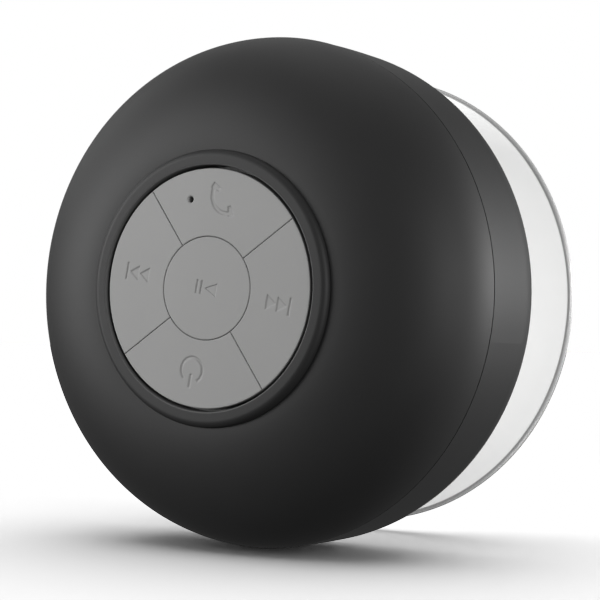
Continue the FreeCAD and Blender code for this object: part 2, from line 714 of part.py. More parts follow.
def keypad_ribbon():
    """Flat cable from the key board to the main board, with a folded foot on each."""
    x, thick = 26.2, 0.3
    low, high = BOARD_FRONT + BOARD_THICK, MAIN_BACK - MAIN_THICK
    outline = [(x - 3.0, low), (x + thick, low), (x + thick, high - thick), (x + 3.0, high - thick),
               (x + 3.0, high), (x, high), (x, low + thick), (x - 3.0, low + thick)]
    points = [V(a, y, -4.0) for a, y in outline]
    return Part.Face(Part.makePolygon(points + points[:1])).extrude(V(0, 0, 8.0))


def write(name, shape):
    """One sub-part to its own STEP file. A list of solids becomes a group."""
    solid = Part.makeCompound(shape) if isinstance(shape, list) else shape
    if len(solid.Solids) == 1 and not isinstance(shape, list):
        solid = solid.Solids[0]
    bad = "" if solid.isValid() else "  NOT VALID"
    print(f"{name:20s} solids {len(solid.Solids):3d}  volume {solid.Volume:10.2f}{bad}")
    solid.exportStep(f"parts/{name}.step")


def main():
    os.makedirs("parts", exist_ok=True)
    write("front_shell", front_shell())
    write("rear_shell", rear_shell())
    write("shell_seal", shell_seal())
    write("shell_screws", shell_screws())
    write("call_key", call_key())
    write("previous_key", rounded(outer_key(180)).cut(skip_icon(-1)))
    write("play_key", rounded(play_key()).cut(play_icon()))
    write("next_key", rounded(outer_key(0)).cut(skip_icon(1)))
    write("power_key", rounded(outer_key(270)).cut(power_icon()))
    write("keypad_membrane", keypad_membrane())
    write("key_clamp_ring", key_clamp_ring())
    write("switch_bodies", switch_bodies())
    for name, (x, z) in zip(("play", "call", "previous", "next", "power"), key_spots()):
        write(f"{name}_switch", switch_button(x, z))
    write("key_board", key_board())
    write("key_board_screws", key_board_screws())
    write("microphone", microphone())
    write("microphone_boot", microphone_boot())
    write("battery", battery())
    write("battery_pad", battery_pad())
    write("driver_frame", driver_frame())
    write("front_plate", front_plate())
    write("driver_magnet", driver_magnet())
    write("yoke", yoke())
    write("driver_cone", driver_cone())
    write("dust_cap", dust_cap())
    write("voice_coil", voice_coil())
    write("driver_surround", driver_surround())
    write("driver_spider", driver_spider())
    write("driver_gasket", driver_gasket())
    write("driver_screws", driver_screws())
    write("sound_mesh", sound_mesh())
    write("main_board", main_board())
    write("main_board_screws", main_board_screws())
    write("radio_module", radio_module())
    write("charging_socket", charging_socket())
    write("port_plug", port_plug())
    write("plug_tether", plug_tether())
    write("suction_cup", suction_cup())
    write("cup_hub", cup_hub())
    write("battery_leads", battery_leads())
    write("speaker_leads", speaker_leads())
    write("keypad_ribbon", keypad_ribbon())


main()
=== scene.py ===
import math

import bmesh
import bpy
import numpy as np
from mathutils import Matrix, Vector


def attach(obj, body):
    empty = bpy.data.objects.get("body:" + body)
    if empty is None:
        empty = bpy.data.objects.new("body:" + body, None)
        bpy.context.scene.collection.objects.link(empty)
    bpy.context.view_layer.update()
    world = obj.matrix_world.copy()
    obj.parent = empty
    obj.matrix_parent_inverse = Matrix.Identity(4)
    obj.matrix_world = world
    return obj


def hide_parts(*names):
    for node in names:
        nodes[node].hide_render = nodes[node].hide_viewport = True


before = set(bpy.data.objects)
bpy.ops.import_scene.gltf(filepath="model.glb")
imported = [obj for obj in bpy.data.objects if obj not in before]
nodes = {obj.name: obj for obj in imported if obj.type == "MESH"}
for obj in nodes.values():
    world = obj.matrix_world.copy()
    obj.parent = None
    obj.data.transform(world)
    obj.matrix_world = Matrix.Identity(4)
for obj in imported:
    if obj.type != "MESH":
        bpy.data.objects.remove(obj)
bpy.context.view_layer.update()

MM = 0.001


# Suction cup: a soft milky cup moulded in one piece. A thick stalk widens into a thin conical skirt that
# ends in a rounded edge, and its flat lip is the face that seals against the wall.

def bezier(poles, count=24):
    """Points on a Bezier curve: each is the Bernstein-weighted sum of the poles."""
    poles = np.asarray(poles, float)
    t = np.linspace(0, 1, count)[:, None]
    last = len(poles) - 1
    weights = [math.comb(last, i) * t ** i * (1 - t) ** (last - i) for i in range(last + 1)]
    return sum(w * p for w, p in zip(weights, poles))


def quarter(start, corner, end, count=12):
    """A quarter ellipse from start to end, tangent to the sides that meet in corner."""
    start, corner, end = (np.asarray(p, float) for p in (start, corner, end))
    a = np.linspace(0, math.pi / 2, count)[:, None]
    middle = start + end - corner
    return middle + (start - middle) * np.cos(a) + (end - middle) * np.sin(a)


def run(a, b, step=0.8):
    """Evenly spaced points on a straight run."""
    a, b = np.asarray(a, float), np.asarray(b, float)
    count = max(2, int(np.hypot(*(b - a)) / step) + 1)
    return a + (b - a) * np.linspace(0, 1, count)[:, None]


def outline(*pieces):
    """One outline from pieces that follow each other, without repeated points."""
    points = np.vstack([np.atleast_2d(np.asarray(p, float)) for p in pieces])
    keep = np.ones(len(points), bool)
    keep[1:] = np.hypot(*(points[1:] - points[:-1]).T) > 1e-4
    return points[keep]


def link(name, mesh, sharp=30.0):
    """Puts a finished mesh in the scene, shaded smooth except along edges sharper than this."""
    mesh.polygons.foreach_set("use_smooth", np.ones(len(mesh.polygons), bool))
    mesh.set_sharp_from_angle(angle=math.radians(sharp))
    piece = bpy.data.objects.new(name, mesh)
    bpy.context.scene.collection.objects.link(piece)
    return piece


def outwards(mesh):
    """Merges doubled points and turns every face of a closed mesh outwards."""
    work = bmesh.new()
    work.from_mesh(mesh)
    bmesh.ops.remove_doubles(work, verts=work.verts, dist=1e-8)
    bmesh.ops.recalc_face_normals(work, faces=work.faces)
    work.to_mesh(mesh)
    work.free()


def turned(name, profile, sides=256, centre=(0.0, 0.0)):
    """Turns a closed outline of (radius, depth) millimetres about a line along Y through centre (x, z):
    point = (x + r cos a, y, z + r sin a), for every profile point and every angle a."""
    a = np.linspace(0, 2 * math.pi, sides, endpoint=False)
    r, y = profile[:, 0:1], profile[:, 1:2]
    grid = np.stack([centre[0] + r * np.cos(a), y + 0 * a, centre[1] + r * np.sin(a)], axis=-1) * MM
    rows = len(profile)
    i, j = np.meshgrid(np.arange(rows), np.arange(sides), indexing="ij")
    i2, j2 = (i + 1) % rows, (j + 1) % sides
    faces = np.stack([i * sides + j, i * sides + j2, i2 * sides + j2, i2 * sides + j], axis=-1)
    mesh = bpy.data.meshes.new(name)
    mesh.from_pydata(grid.reshape(-1, 3).tolist(), [], faces.reshape(-1, 4).tolist())
    outwards(mesh)
    return mesh


def material(name, base, roughness, spread=0.0, grain=0.0, scale=4000.0, **sockets):
    """A moulded or sheet finish: base colour with a faint cloudy spread, and a grain of this height in
    metres."""
    finish = bpy.data.materials.new(name)
    finish.use_nodes = True
    tree = finish.node_tree
    shader = tree.nodes["Principled BSDF"]
    place = tree.nodes.new("ShaderNodeTexCoord").outputs["Object"]
    cloud = tree.nodes.new("ShaderNodeTexNoise")
    cloud.inputs["Scale"].default_value = 160.0
    cloud.inputs["Detail"].default_value = 4.0
    tree.links.new(place, cloud.inputs["Vector"])
    blend = tree.nodes.new("ShaderNodeMix")
    blend.data_type = "RGBA"
    blend.inputs["A"].default_value = [c * (1 - spread) for c in base] + [1]
    blend.inputs["B"].default_value = [min(1, c * (1 + spread)) for c in base] + [1]
    tree.links.new(cloud.outputs["Fac"], blend.inputs["Factor"])
    tree.links.new(blend.outputs["Result"], shader.inputs["Base Color"])
    speck = tree.nodes.new("ShaderNodeTexNoise")
    speck.inputs["Scale"].default_value = scale
    speck.inputs["Detail"].default_value = 2.0
    tree.links.new(place, speck.inputs["Vector"])
    rough = tree.nodes.new("ShaderNodeMapRange")
    rough.inputs["To Min"].default_value = roughness - 0.04
    rough.inputs["To Max"].default_value = roughness + 0.04
    tree.links.new(speck.outputs["Fac"], rough.inputs["Value"])
    tree.links.new(rough.outputs["Result"], shader.inputs["Roughness"])
    if grain:
        bump = tree.nodes.new("ShaderNodeBump")
        bump.inputs["Strength"].default_value = 1.0
        bump.inputs["Distance"].default_value = grain
        tree.links.new(speck.outputs["Fac"], bump.inputs["Height"])
        tree.links.new(bump.outputs["Normal"], shader.inputs["Normal"])
    for socket, value in sockets.items():
        shader.inputs[socket.replace("_", " ")].default_value = value
    return finish


def ring_tint(finish, colour, start, full, end):
    """Tints a ring about the Y axis: none inside radius start, all of it from full to end, in millimetres."""
    tree = finish.node_tree
    shader = tree.nodes["Principled BSDF"]
    flat = tree.nodes.new("ShaderNodeVectorMath")
    flat.operation = "MULTIPLY"
    flat.inputs[1].default_value = (1, 0, 1)
    tree.links.new(tree.nodes["Texture Coordinate"].outputs["Object"], flat.inputs[0])
    away = tree.nodes.new("ShaderNodeVectorMath")
    away.operation = "LENGTH"
    tree.links.new(flat.outputs[0], away.inputs[0])
    share = tree.nodes.new("ShaderNodeMapRange")
    share.interpolation_type = "SMOOTHSTEP"
    share.inputs["From Min"].default_value = start * MM
    share.inputs["From Max"].default_value = full * MM
    tree.links.new(away.outputs["Value"], share.inputs["Value"])
    inside = tree.nodes.new("ShaderNodeMath")
    inside.operation = "LESS_THAN"
    inside.inputs[1].default_value = end * MM
    tree.links.new(away.outputs["Value"], inside.inputs[0])
    amount = tree.nodes.new("ShaderNodeMath")
    amount.operation = "MULTIPLY"
    tree.links.new(share.outputs["Result"], amount.inputs[0])
    tree.links.new(inside.outputs[0], amount.inputs[1])
    blend = tree.nodes.new("ShaderNodeMix")
    blend.data_type = "RGBA"
    blend.inputs["B"].default_value = [*colour, 1]
    tree.links.new(amount.outputs[0], blend.inputs["Factor"])
    tree.links.new(shader.inputs["Base Color"].links[0].from_socket, blend.inputs["A"])
    tree.links.new(blend.outputs["Result"], shader.inputs["Base Color"])


def dress(piece, finish):
    """Gives a piece, or a carried-over node, this finish all over."""
    piece.data.materials.clear()
    piece.data.materials.append(finish)


pole_r = 0.02
cup_r = 41.0
cup_edge = 0.7
cup_hollow_y = -6.5
cup_lip = 2.2
stalk_r = 11.0
stalk_y = -15.6
hub_bed_y = -12.0
cup_profile = outline(
    run((pole_r, hub_bed_y), (pole_r, cup_hollow_y), 1.0),
    bezier([(pole_r, cup_hollow_y), (18, cup_hollow_y), (31, -3.6), (cup_r - cup_lip, 0)], 70),
    quarter((cup_r - cup_edge, 0), (cup_r, 0), (cup_r, -cup_edge)),
    quarter((cup_r, -cup_edge), (cup_r, -2 * cup_edge), (cup_r - cup_edge, -2 * cup_edge)),
    bezier([(cup_r - cup_edge, -2 * cup_edge), (33, -3.3), (22, -8.6), (13.4, -10.6)], 70),
    bezier([(13.4, -10.6), (stalk_r, -11.3), (stalk_r, -13.0)], 16),
    run((stalk_r, -13.0), (stalk_r, stalk_y + 0.3)),
    quarter((stalk_r, stalk_y + 0.3), (stalk_r, stalk_y), (stalk_r - 0.3, stalk_y), 5),
    run((stalk_r - 0.3, stalk_y), (7.0, stalk_y)),
    [(7.0, -13.2), (8.4, -13.2), (8.4, hub_bed_y)],
)
suction_cup = link("suction_cup_moulding", turned("suction_cup_moulding", cup_profile, 320))
edge_painted_shade = (0.27, 0.27, 0.27)
edge_fade_r, edge_full_r, past_edge_r = 40.18, 40.45, 50.0
milky = material("milky_cup", (0.96, 0.96, 0.95), 0.38, 0.02, 4e-6, 1500.0,
                 Subsurface_Weight=0.4, Subsurface_Radius=(1, 1, 1), Subsurface_Scale=0.001,
                 Coat_Weight=0.15)
# Painted shade: the outer band of the rim is tinted grey, for the darker look of the thin translucent edge;
# the milky silicone itself is the same all through.
ring_tint(milky, edge_painted_shade, edge_fade_r, edge_full_r, past_edge_r)
dress(suction_cup, milky)
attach(suction_cup, "wall_mount")
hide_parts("suction_cup")


# Hub: a rigid white plastic insert that the cup is moulded round. Its post and three lugs twist into the
# rear shell's bayonet tracks.

hub_plastic = material("hub_plastic", (0.72, 0.72, 0.71), 0.42, 0.03, 3e-6)
dress(nodes["cup_hub"], hub_plastic)


# Rear shell: the bowl-shaped back half, injection moulded and sprayed with the same soft-touch paint as the
# front. Sound leaves through the ring of slots, and the four deep holes take the screws.

soft_touch = material("soft_touch_paint", (0.0089, 0.0089, 0.009), 0.58, 0.10, 2.5e-6, 6000.0,
                      Specular_IOR_Level=0.2)
dress(nodes["rear_shell"], soft_touch)


# Fasteners and stamped steel: zinc-plated screws, the driver's basket, plates and the charging connector. The
# four screws that can be seen from behind are plated black.

zinc = material("zinc_plate", (0.60, 0.60, 0.61), 0.30, 0.06, 2e-6, 3000.0, Metallic=1.0)
black_zinc = material("black_zinc_plate", (0.10, 0.10, 0.105), 0.42, 0.06, 2e-6, 3000.0, Metallic=1.0)
dress(nodes["shell_screws"], black_zinc)
for name in ("key_board_screws", "driver_screws", "main_board_screws", "driver_frame",
             "front_plate", "yoke", "charging_socket", "radio_module", "microphone"):
    dress(nodes[name], zinc)


# Seals, gaskets and soft trim inside: black rubber for the shell's seal, the microphone's boot and the cone's
# edge, and closed-cell foam under the driver and the battery.

black_rubber = material("black_rubber", (0.022, 0.022, 0.022), 0.6, 0.15, 6e-6, 2500.0)
for name in ("shell_seal", "microphone_boot", "driver_surround"):
    dress(nodes[name], black_rubber)
foam = material("closed_cell_foam", (0.03, 0.03, 0.03), 0.85, 0.3, 6e-5, 1800.0)
for name in ("battery_pad", "driver_gasket"):
    dress(nodes[name], foam)


# Port plug: a soft rubber lid over the charging socket, moulded in one with the strip that holds it. The lid
# has a lip that fills the opening and a ridge for a fingernail; a stem with a wider end pins the strip.

back_y = -19.5
socket_z = -28.2
stem_z = -35.1


def slab(name, half_x, z0, z1, y0, y1, corner=0.6, edge=0.2):
    """A rounded rectangle (four quarter-circle corners, joined by straights) that runs from depth y0 to y1.
    Near y1 its rings follow a quarter circle of radius edge: they shrink by edge (1 - cos b) as depth gains
    edge sin b."""
    sides = 64
    a = (np.arange(sides) + 0.5) * 2 * math.pi / sides
    b = np.linspace(0, math.pi / 2, 7)
    inset = np.concatenate([[0.0], edge * (1 - np.cos(b))])[:, None]
    y = np.concatenate([[y0], y1 - math.copysign(edge, y1 - y0) * (1 - np.sin(b))])[:, None]
    x = np.sign(np.cos(a)) * (half_x - corner) + (corner - inset) * np.cos(a)
    z = (z0 + z1) / 2 + np.sign(np.sin(a)) * ((z1 - z0) / 2 - corner) + (corner - inset) * np.sin(a)
    grid = np.stack([x, y + 0 * x, z], axis=-1) * MM
    number = np.arange(grid.shape[0] * sides).reshape(-1, sides)
    nxt = np.roll(number, -1, axis=1)
    faces = np.stack([number[:-1], nxt[:-1], nxt[1:], number[1:]], axis=-1).reshape(-1, 4).tolist()
    ends = [tuple(number[0].tolist()), tuple(number[-1].tolist())]
    mesh = bpy.data.meshes.new(name)
    mesh.from_pydata(grid.reshape(-1, 3).tolist(), [], faces + ends)
    outwards(mesh)
    return mesh


def joined(name, meshes):
    """One mesh from several closed ones."""
    work = bmesh.new()
    for part in meshes:
        work.from_mesh(part)
    mesh = bpy.data.meshes.new(name)
    work.to_mesh(mesh)
    work.free()
    return mesh


plug = link("port_plug_moulding", joined("port_plug_moulding", [
    slab("lid", 4.9, -33.6, -24.6, back_y - 0.95, back_y),
    slab("lip", 3.9, socket_z - 1.4, socket_z + 1.4, back_y - 0.9, back_y - 1.4, 0.5, 0.15),
    slab("ridge", 2.5, -25.7, -24.9, back_y - 0.1, back_y + 0.6, 0.35, 0.25)]), 40.0)
strip = link("plug_tether_moulding", joined("plug_tether_moulding", [
    slab("strip", 4.9, -36.1, -33.8, back_y - 1.0, back_y),
    turned("stem", outline([(pole_r, back_y - 0.9), (1.0, back_y - 0.9), (1.0, back_y - 2.3),
                            (1.5, back_y - 2.3), (1.2, back_y - 3.1), (pole_r, back_y - 3.1)]),
           48, (0.0, stem_z))]), 40.0)
for piece, body, node in ((plug, "plug", "port_plug"), (strip, "housing", "plug_tether")):
    dress(piece, black_rubber)
    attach(piece, body)
    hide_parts(node)


# Driver: sintered ferrite ring, pulp cone and cap, copper coil. The spider is a corrugated disc of treated
# cloth, glued to the basket outside and to the coil inside; its glued neck moves with the coil.

spider_in, spider_out = 7.25, 12.9
spider_y, spider_low_y = -30.55, -30.95
wave_high, wave_long, wave_start = 0.16, 1.1, 0.7
cloth_half = 0.12
neck_in, neck_out = 6.71, 7.1
neck_back, neck_front = -30.3, -30.55

ferrite = material("ferrite", (0.05, 0.05, 0.055), 0.7, 0.2, 2e-5, 1500.0)
dress(nodes["driver_magnet"], ferrite)
pulp = material("pressed_pulp", (0.03, 0.03, 0.03), 0.8, 0.3, 3e-5, 2500.0)
dress(nodes["driver_cone"], pulp)
dress(nodes["dust_cap"], pulp)
copper = material("enamelled_copper", (0.75, 0.32, 0.12), 0.3, 0.1, 4e-6, 4000.0, Metallic=1.0)
dress(nodes["voice_coil"], copper)
cloth = material("treated_cloth", (0.42, 0.28, 0.11), 0.75, 0.2, 3e-5, 3000.0)
spider_r = np.linspace(spider_in, spider_out, 100)
rise = np.clip((spider_r - spider_in) / wave_start, 0, 1)
spider_line = spider_low_y + (spider_y - spider_low_y) * rise ** 2 * (3 - 2 * rise)
spider_line += wave_high * rise * np.sin(2 * math.pi * (spider_r - spider_in) / wave_long)
waves = link("spider_waves", turned("spider_waves", outline(
    np.stack([spider_r, spider_line + cloth_half], axis=1),
    np.stack([spider_r, spider_line - cloth_half], axis=1)[::-1]), 128))
neck = link("spider_neck", turned("spider_neck", outline(
    [(neck_in, neck_back), (neck_in, neck_front), (7.0, neck_front)],
    quarter((7.0, neck_front), (neck_out, neck_front), (neck_out, -30.45), 5),
    quarter((neck_out, -30.45), (6.9, -30.4), (6.8, neck_back), 5)), 96))
for piece, body in ((waves, "housing"), (neck, "cone")):
    dress(piece, cloth)
    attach(piece, body)
    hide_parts("driver_spider")


# Sound mesh: a woven black cloth ring glued behind the slots, which lets the sound through and keeps spray
# off the driver.

woven_cloth = material("woven_mesh", (0.02, 0.02, 0.02), 0.8, 0.4, 6e-5, 2200.0)
dress(nodes["sound_mesh"], woven_cloth)


# Boards and what is wired to them: green solder mask over fibreglass. The round board carries the keys'
# switches, the ring-shaped one the radio; the battery is a foil pouch, and the leads have sleeved wires.

solder_mask = material("solder_mask", (0.015, 0.13, 0.05), 0.3, 0.2, 3e-6, 900.0, Coat_Weight=0.3)
for name in ("key_board", "main_board"):
    dress(nodes[name], solder_mask)
inner_plastic = material("inner_plastic", (0.05, 0.05, 0.052), 0.45, 0.1, 4e-6)
for name in ("key_clamp_ring", "switch_bodies", "keypad_ribbon", "play_switch", "call_switch",
             "previous_switch", "next_switch", "power_switch"):
    dress(nodes[name], inner_plastic)
foil = material("foil_pouch", (0.62, 0.63, 0.65), 0.35, 0.05, 2e-5, 500.0, Metallic=0.9)
dress(nodes["battery"], foil)
red_wire = material("wire_sleeve", (0.45, 0.03, 0.02), 0.4, 0.05, 2e-6)
for name in ("battery_leads", "speaker_leads"):
    dress(nodes[name], red_wire)


# Keypad: grey silicone. A thin web joins the five keys on the real moulding; each key stands proud of it,
# with soft edges, narrow grooves between the keys, and shallow sunk icons.

pad_r = 19.0
pad_y = -53.9
web_y = -51.1
groove = 0.05
play_r = 8.175
key_pitch = 13.5
plunger_end = -50.0
pin_r, pin_round = 1.5, 0.15
edge_round = 0.17
icon_deep = 0.12
icon_slope = 0.13
mic_hole = (-5.8, 13.3, 0.5)
mic_chamfer = 0.14

silicone = material("grey_silicone", (0.140, 0.140, 0.138), 0.62, 0.03, 3e-6, 5000.0)
dress(nodes["keypad_membrane"], silicone)


def bar(x, z, x0, x1, z0, z1):
    """Distance inside a rectangle, negative outside."""
    return np.minimum(np.minimum(x - x0, x1 - x), np.minimum(z - z0, z1 - z))


def triangle(x, z, points):
    """Distance inside a triangle whose corners run clockwise or counter-clockwise."""
    middle = np.mean(points, axis=0)
    depth = np.full(x.shape, 1e3)
    for (ax, az), (bx, bz) in zip(points, points[1:] + points[:1]):
        nx, nz = bz - az, ax - bx
        size = math.hypot(nx, nz)
        side = ((middle[0] - ax) * nx + (middle[1] - az) * nz) / size
        depth = np.minimum(depth, ((x - ax) * nx + (z - az) * nz) / size * math.copysign(1, side))
    return depth


def arc(x, z, cx, cz, radius, half_wide, a0, a1):
    """Distance inside a bent bar that follows a circle from angle a0 to a1, in degrees."""
    away = np.hypot(x - cx, z - cz)
    middle, reach = math.radians((a0 + a1) / 2), math.radians((a1 - a0) / 2)
    turn = np.abs((np.arctan2(z - cz, x - cx) - middle + math.pi) % (2 * math.pi) - math.pi)
    return np.minimum(half_wide - np.abs(away - radius), (reach - turn) * radius)


def play_icon(x, z):
    """Two bars and a triangle that points at them."""
    return np.maximum.reduce([
        bar(x, z, -2.0, -1.6, -1.15, 1.15), bar(x, z, -1.15, -0.75, -1.15, 1.15),
        triangle(x, z, [(-0.35, 0), (2.0, 1.15), (2.0, -1.15)])])


def skip_icon(direction):
    """Two triangles and a bar, for next (1) or previous (-1)."""
    def shape(x, z):
        u = direction * x - key_pitch
        return np.maximum.reduce([
            triangle(u, z, [(-2.2, 1.3), (-0.3, 0), (-2.2, -1.3)]),
            triangle(u, z, [(-0.2, 1.3), (1.7, 0), (-0.2, -1.3)]), bar(u, z, 1.93, 2.37, -1.45, 1.45)])
    return shape


def phone_icon(x, z):
    """A tilted handset: a curved handle with a wider piece at each end."""
    return np.maximum.reduce([
        arc(x, z, 1.0, 15.0, 2.85, 0.35, 165, 285),
        arc(x, z, 1.0, 15.0, 2.55, 0.85, 147, 169), arc(x, z, 1.0, 15.0, 2.55, 0.85, 281, 303)])


def power_icon(x, z):
    """A broken ring with a bar through the break."""
    middle = -key_pitch + 0.3
    return np.maximum(arc(x, z, 0, middle, 2.0, 0.25, -52, 232),
                      bar(x, z, -0.24, 0.24, middle - 2.9, middle - 0.6))


def smooth(t):
    """0 to 1 with level ends: 3t squared minus 2t cubed."""
    t = np.clip(t, 0, 1)
    return t * t * (3 - 2 * t)


def key_face(x, z, edge, icon):
    """Depth of the key's face: flat, falling away in a round near its edge, with its icon sunk into it."""
    near = np.clip(edge_round - edge, 0, edge_round)
    y = pad_y + edge_round - np.sqrt(edge_round ** 2 - near ** 2)
    y = y + icon_deep * smooth(icon(x, z) / icon_slope)
    hole = np.hypot(x - mic_hole[0], z - mic_hole[1])
    return y + mic_chamfer * smooth((mic_hole[2] + mic_chamfer - hole) / mic_chamfer)


def packed(count, ends=0.75):
    """0 to 1 in count steps that are finer towards both ends."""
    t = np.linspace(0, 1, count)
    return (1 - ends) * t + ends * (0.5 - 0.5 * np.cos(math.pi * t))


def closed_key(name, x, y, z, wrap):
    """Closes a key's face grid into a solid: straight sides back to the web, and a flat back."""
    rows, cols = x.shape
    top = np.stack([x, y, z], axis=-1).reshape(-1, 3) * MM
    number = np.arange(rows * cols).reshape(rows, cols)
    if wrap:
        nxt = np.roll(number, -1, axis=1)
        faces = np.stack([number[:-1], nxt[:-1], nxt[1:], number[1:]], axis=-1).reshape(-1, 4).tolist()
        border = number[-1].tolist()
    else:
        faces = np.stack([number[:-1, :-1], number[:-1, 1:], number[1:, 1:], number[1:, :-1]], axis=-1)
        faces = faces.reshape(-1, 4).tolist()
        border = (number[0, :-1].tolist() + number[:-1, -1].tolist()
                  + number[-1, :0:-1].tolist() + number[:0:-1, 0].tolist())
    base = top[border].copy()
    base[:, 1] = web_y * MM
    start = len(top)
    count = len(border)
    sides = [(border[k], border[(k + 1) % count], start + (k + 1) % count, start + k) for k in range(count)]
    back = [tuple(range(start, start + count))]
    mesh = bpy.data.meshes.new(name)
    mesh.from_pydata(np.vstack([top, base]).tolist(), [], faces + sides + back)
    return mesh


def with_plunger(piece, x, z):
    """Joins the short pin behind the key that pushes its switch."""
    pin = turned(piece.name + "_pin", outline([
        (pole_r, web_y - 0.2), (pin_r, web_y - 0.2), (pin_r, plunger_end - pin_round),
        (pin_r - pin_round, plunger_end), (pole_r, plunger_end)]), 48, (x, z))
    work = bmesh.new()
    work.from_mesh(piece.data)
    work.from_mesh(pin)
    bmesh.ops.recalc_face_normals(work, faces=work.faces)
    work.to_mesh(piece.data)
    work.free()


def round_key(name, icon):
    """The centre key: a disc on a polar grid, radius by angle."""
    r = play_r * (0.002 + 0.998 * packed(110, 0.5))[:, None]
    a = np.linspace(0, 2 * math.pi, 360, endpoint=False)[None, :]
    x, z = r * np.cos(a), r * np.sin(a)
    return closed_key(name, x, key_face(x, z, play_r - r + 0 * a, icon), z, True)


def quarter_key(name, angle, icon):
    """An outer key: radius by angle, with straight sides half a groove away from the two diagonals."""
    inner = play_r + groove
    r = inner + (pad_r - inner) * packed(150)[:, None]
    half = math.pi / 4 - np.arcsin(groove / 2 / r)
    turn = (2 * packed(300)[None, :] - 1) * half
    x, z = r * np.cos(math.radians(angle) + turn), r * np.sin(math.radians(angle) + turn)
    side = r * np.sin(math.pi / 4 - np.abs(turn)) - groove / 2
    edge = np.minimum(np.minimum(r - inner, pad_r - r), side)
    return closed_key(name, x, key_face(x, z, edge, icon), z, False)


def drilled(piece, x, z, radius):
    """Cuts a straight hole along Y right through the piece."""
    tool = link("drill", turned("drill", outline([
        (pole_r, pad_y - 1), (radius, pad_y - 1), (radius, web_y + 2), (pole_r, web_y + 2)]), 48, (x, z)))
    cut = piece.modifiers.new("hole", "BOOLEAN")
    cut.operation = "DIFFERENCE"
    cut.solver = "EXACT"
    cut.object = tool
    result = bpy.data.meshes.new_from_object(piece.evaluated_get(bpy.context.evaluated_depsgraph_get()))
    piece.modifiers.clear()
    piece.data = result
    bpy.data.objects.remove(tool)


key_meshes = {
    "play": (round_key("play_key_cap", play_icon), 0.0, 0.0),
    "call": (quarter_key("call_key_cap", 90, phone_icon), 0.0, key_pitch),
    "previous": (quarter_key("previous_key_cap", 180, skip_icon(-1)), -key_pitch, 0.0),
    "next": (quarter_key("next_key_cap", 0, skip_icon(1)), key_pitch, 0.0),
    "power": (quarter_key("power_key_cap", 270, power_icon), 0.0, -key_pitch),
}
for key, (mesh, x, z) in key_meshes.items():
    outwards(mesh)
    cap = link(f"{key}_key_cap", mesh, 50.0)
    with_plunger(cap, x, z)
    if key == "call":
        drilled(cap, *mic_hole)
    dress(cap, silicone)
    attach(cap, f"{key}_button")
    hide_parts(f"{key}_key")


# Front shell: the domed front half, with the raised round collar that frames the keypad. Injection moulded,
# soft-touch painted, with pillars inside for the shell's screws and the key board.

part_r, part_y = 42.4, -38.0
collar_r, collar_y, collar_high = 22.07, -53.14, 1.1
pad_hole_r = 19.5
wall = 2.1
collar_flat_r = 20.9
collar_lip = 0.25
crest_r = pad_hole_r + collar_lip
crest_y = collar_y - collar_high
dome = [(part_r, part_y - 0.15), (part_r - 2.1, part_y - 11.95), (28.2, collar_y - 0.05),
        (collar_r, collar_y)]
inside = [(collar_r, web_y), (28.2, web_y), (part_r - 2.1 - wall * 0.9, part_y - 11.95 + wall * 0.45),
          (part_r - wall, -41.5)]
front_profile = outline(
    bezier(dome, 150),
    quarter((collar_r, collar_y), (collar_r, crest_y), (collar_flat_r, crest_y), 24),
    run((collar_flat_r, crest_y), (crest_r, crest_y), 0.2),
    quarter((crest_r, crest_y), (pad_hole_r, crest_y), (pad_hole_r, crest_y + collar_lip), 16),
    run((pad_hole_r, crest_y + collar_lip), (pad_hole_r, web_y), 0.5),
    run((pad_hole_r, web_y), (collar_r, web_y)),
    bezier(inside, 70),
    [(39.0, -40.5), (39.0, part_y), (40.0, part_y), (40.0, part_y + 0.8), (40.9, part_y + 0.8),
     (40.9, part_y), (part_r - 0.5, part_y), (part_r - 0.5, part_y - 0.15), (part_r - 0.12, part_y - 0.15)],
)
front_shell = link("front_shell_moulding", turned("front_shell_moulding", front_profile, 320))
pillars = bmesh.new()
pillars.from_mesh(front_shell.data)
for angles, circle_r, hole_r, out_r, y0, y1 in (((45, 135, 225, 315), 35.5, 1.15, 3.2, part_y, -45.2),
                                                ((90, 210, 330), 25.5, 0.9, 2.3, -47.3, -51.3)):
    pillar_profile = outline([(hole_r, y0), (out_r, y0), (out_r, y1), (hole_r, y1)])
    for angle in angles:
        spot = (circle_r * math.cos(math.radians(angle)), circle_r * math.sin(math.radians(angle)))
        pillars.from_mesh(turned("pillar", pillar_profile, 48, spot))
pillars.to_mesh(front_shell.data)
pillars.free()
# Painted highlight: a thin ring at the edge of the pad's hole gets a lighter grey base colour, standing in
# for the light that the lip's rounded edge catches.
front_paint = soft_touch.copy()
front_paint.name = "soft_touch_paint_painted_lip_highlight"
lip_painted_highlight = (0.045, 0.045, 0.045)
ring_tint(front_paint, lip_painted_highlight, pad_hole_r - 0.02, pad_hole_r, pad_hole_r + 0.2)
dress(front_shell, front_paint)
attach(front_shell, "housing")
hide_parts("front_shell")


# Stage: a flat pale floor that the body's round edge stands on, in a white room, with soft square lights. The
# floor shows only the shadow that falls on it. Some lights are kept for the cup, the floor or the dark body.

camera_right = Vector((0.8451, 0.50469, 0.17635))
camera_up = Vector((-0.18765, -0.02885, 0.98181))
camera_forward = Vector((-0.50059, 0.86282, -0.07033))
body_middle = Vector((0, -0.0352, 0))
floor_up = Vector((camera_up.x, 0, camera_up.z)).normalized()
floor_along = Vector((camera_right.x, camera_right.y, 0)).normalized()
floor_along = (floor_along - floor_along.dot(floor_up) * floor_up).normalized()
floor_back = floor_up.cross(floor_along)
floor_height = -0.0429


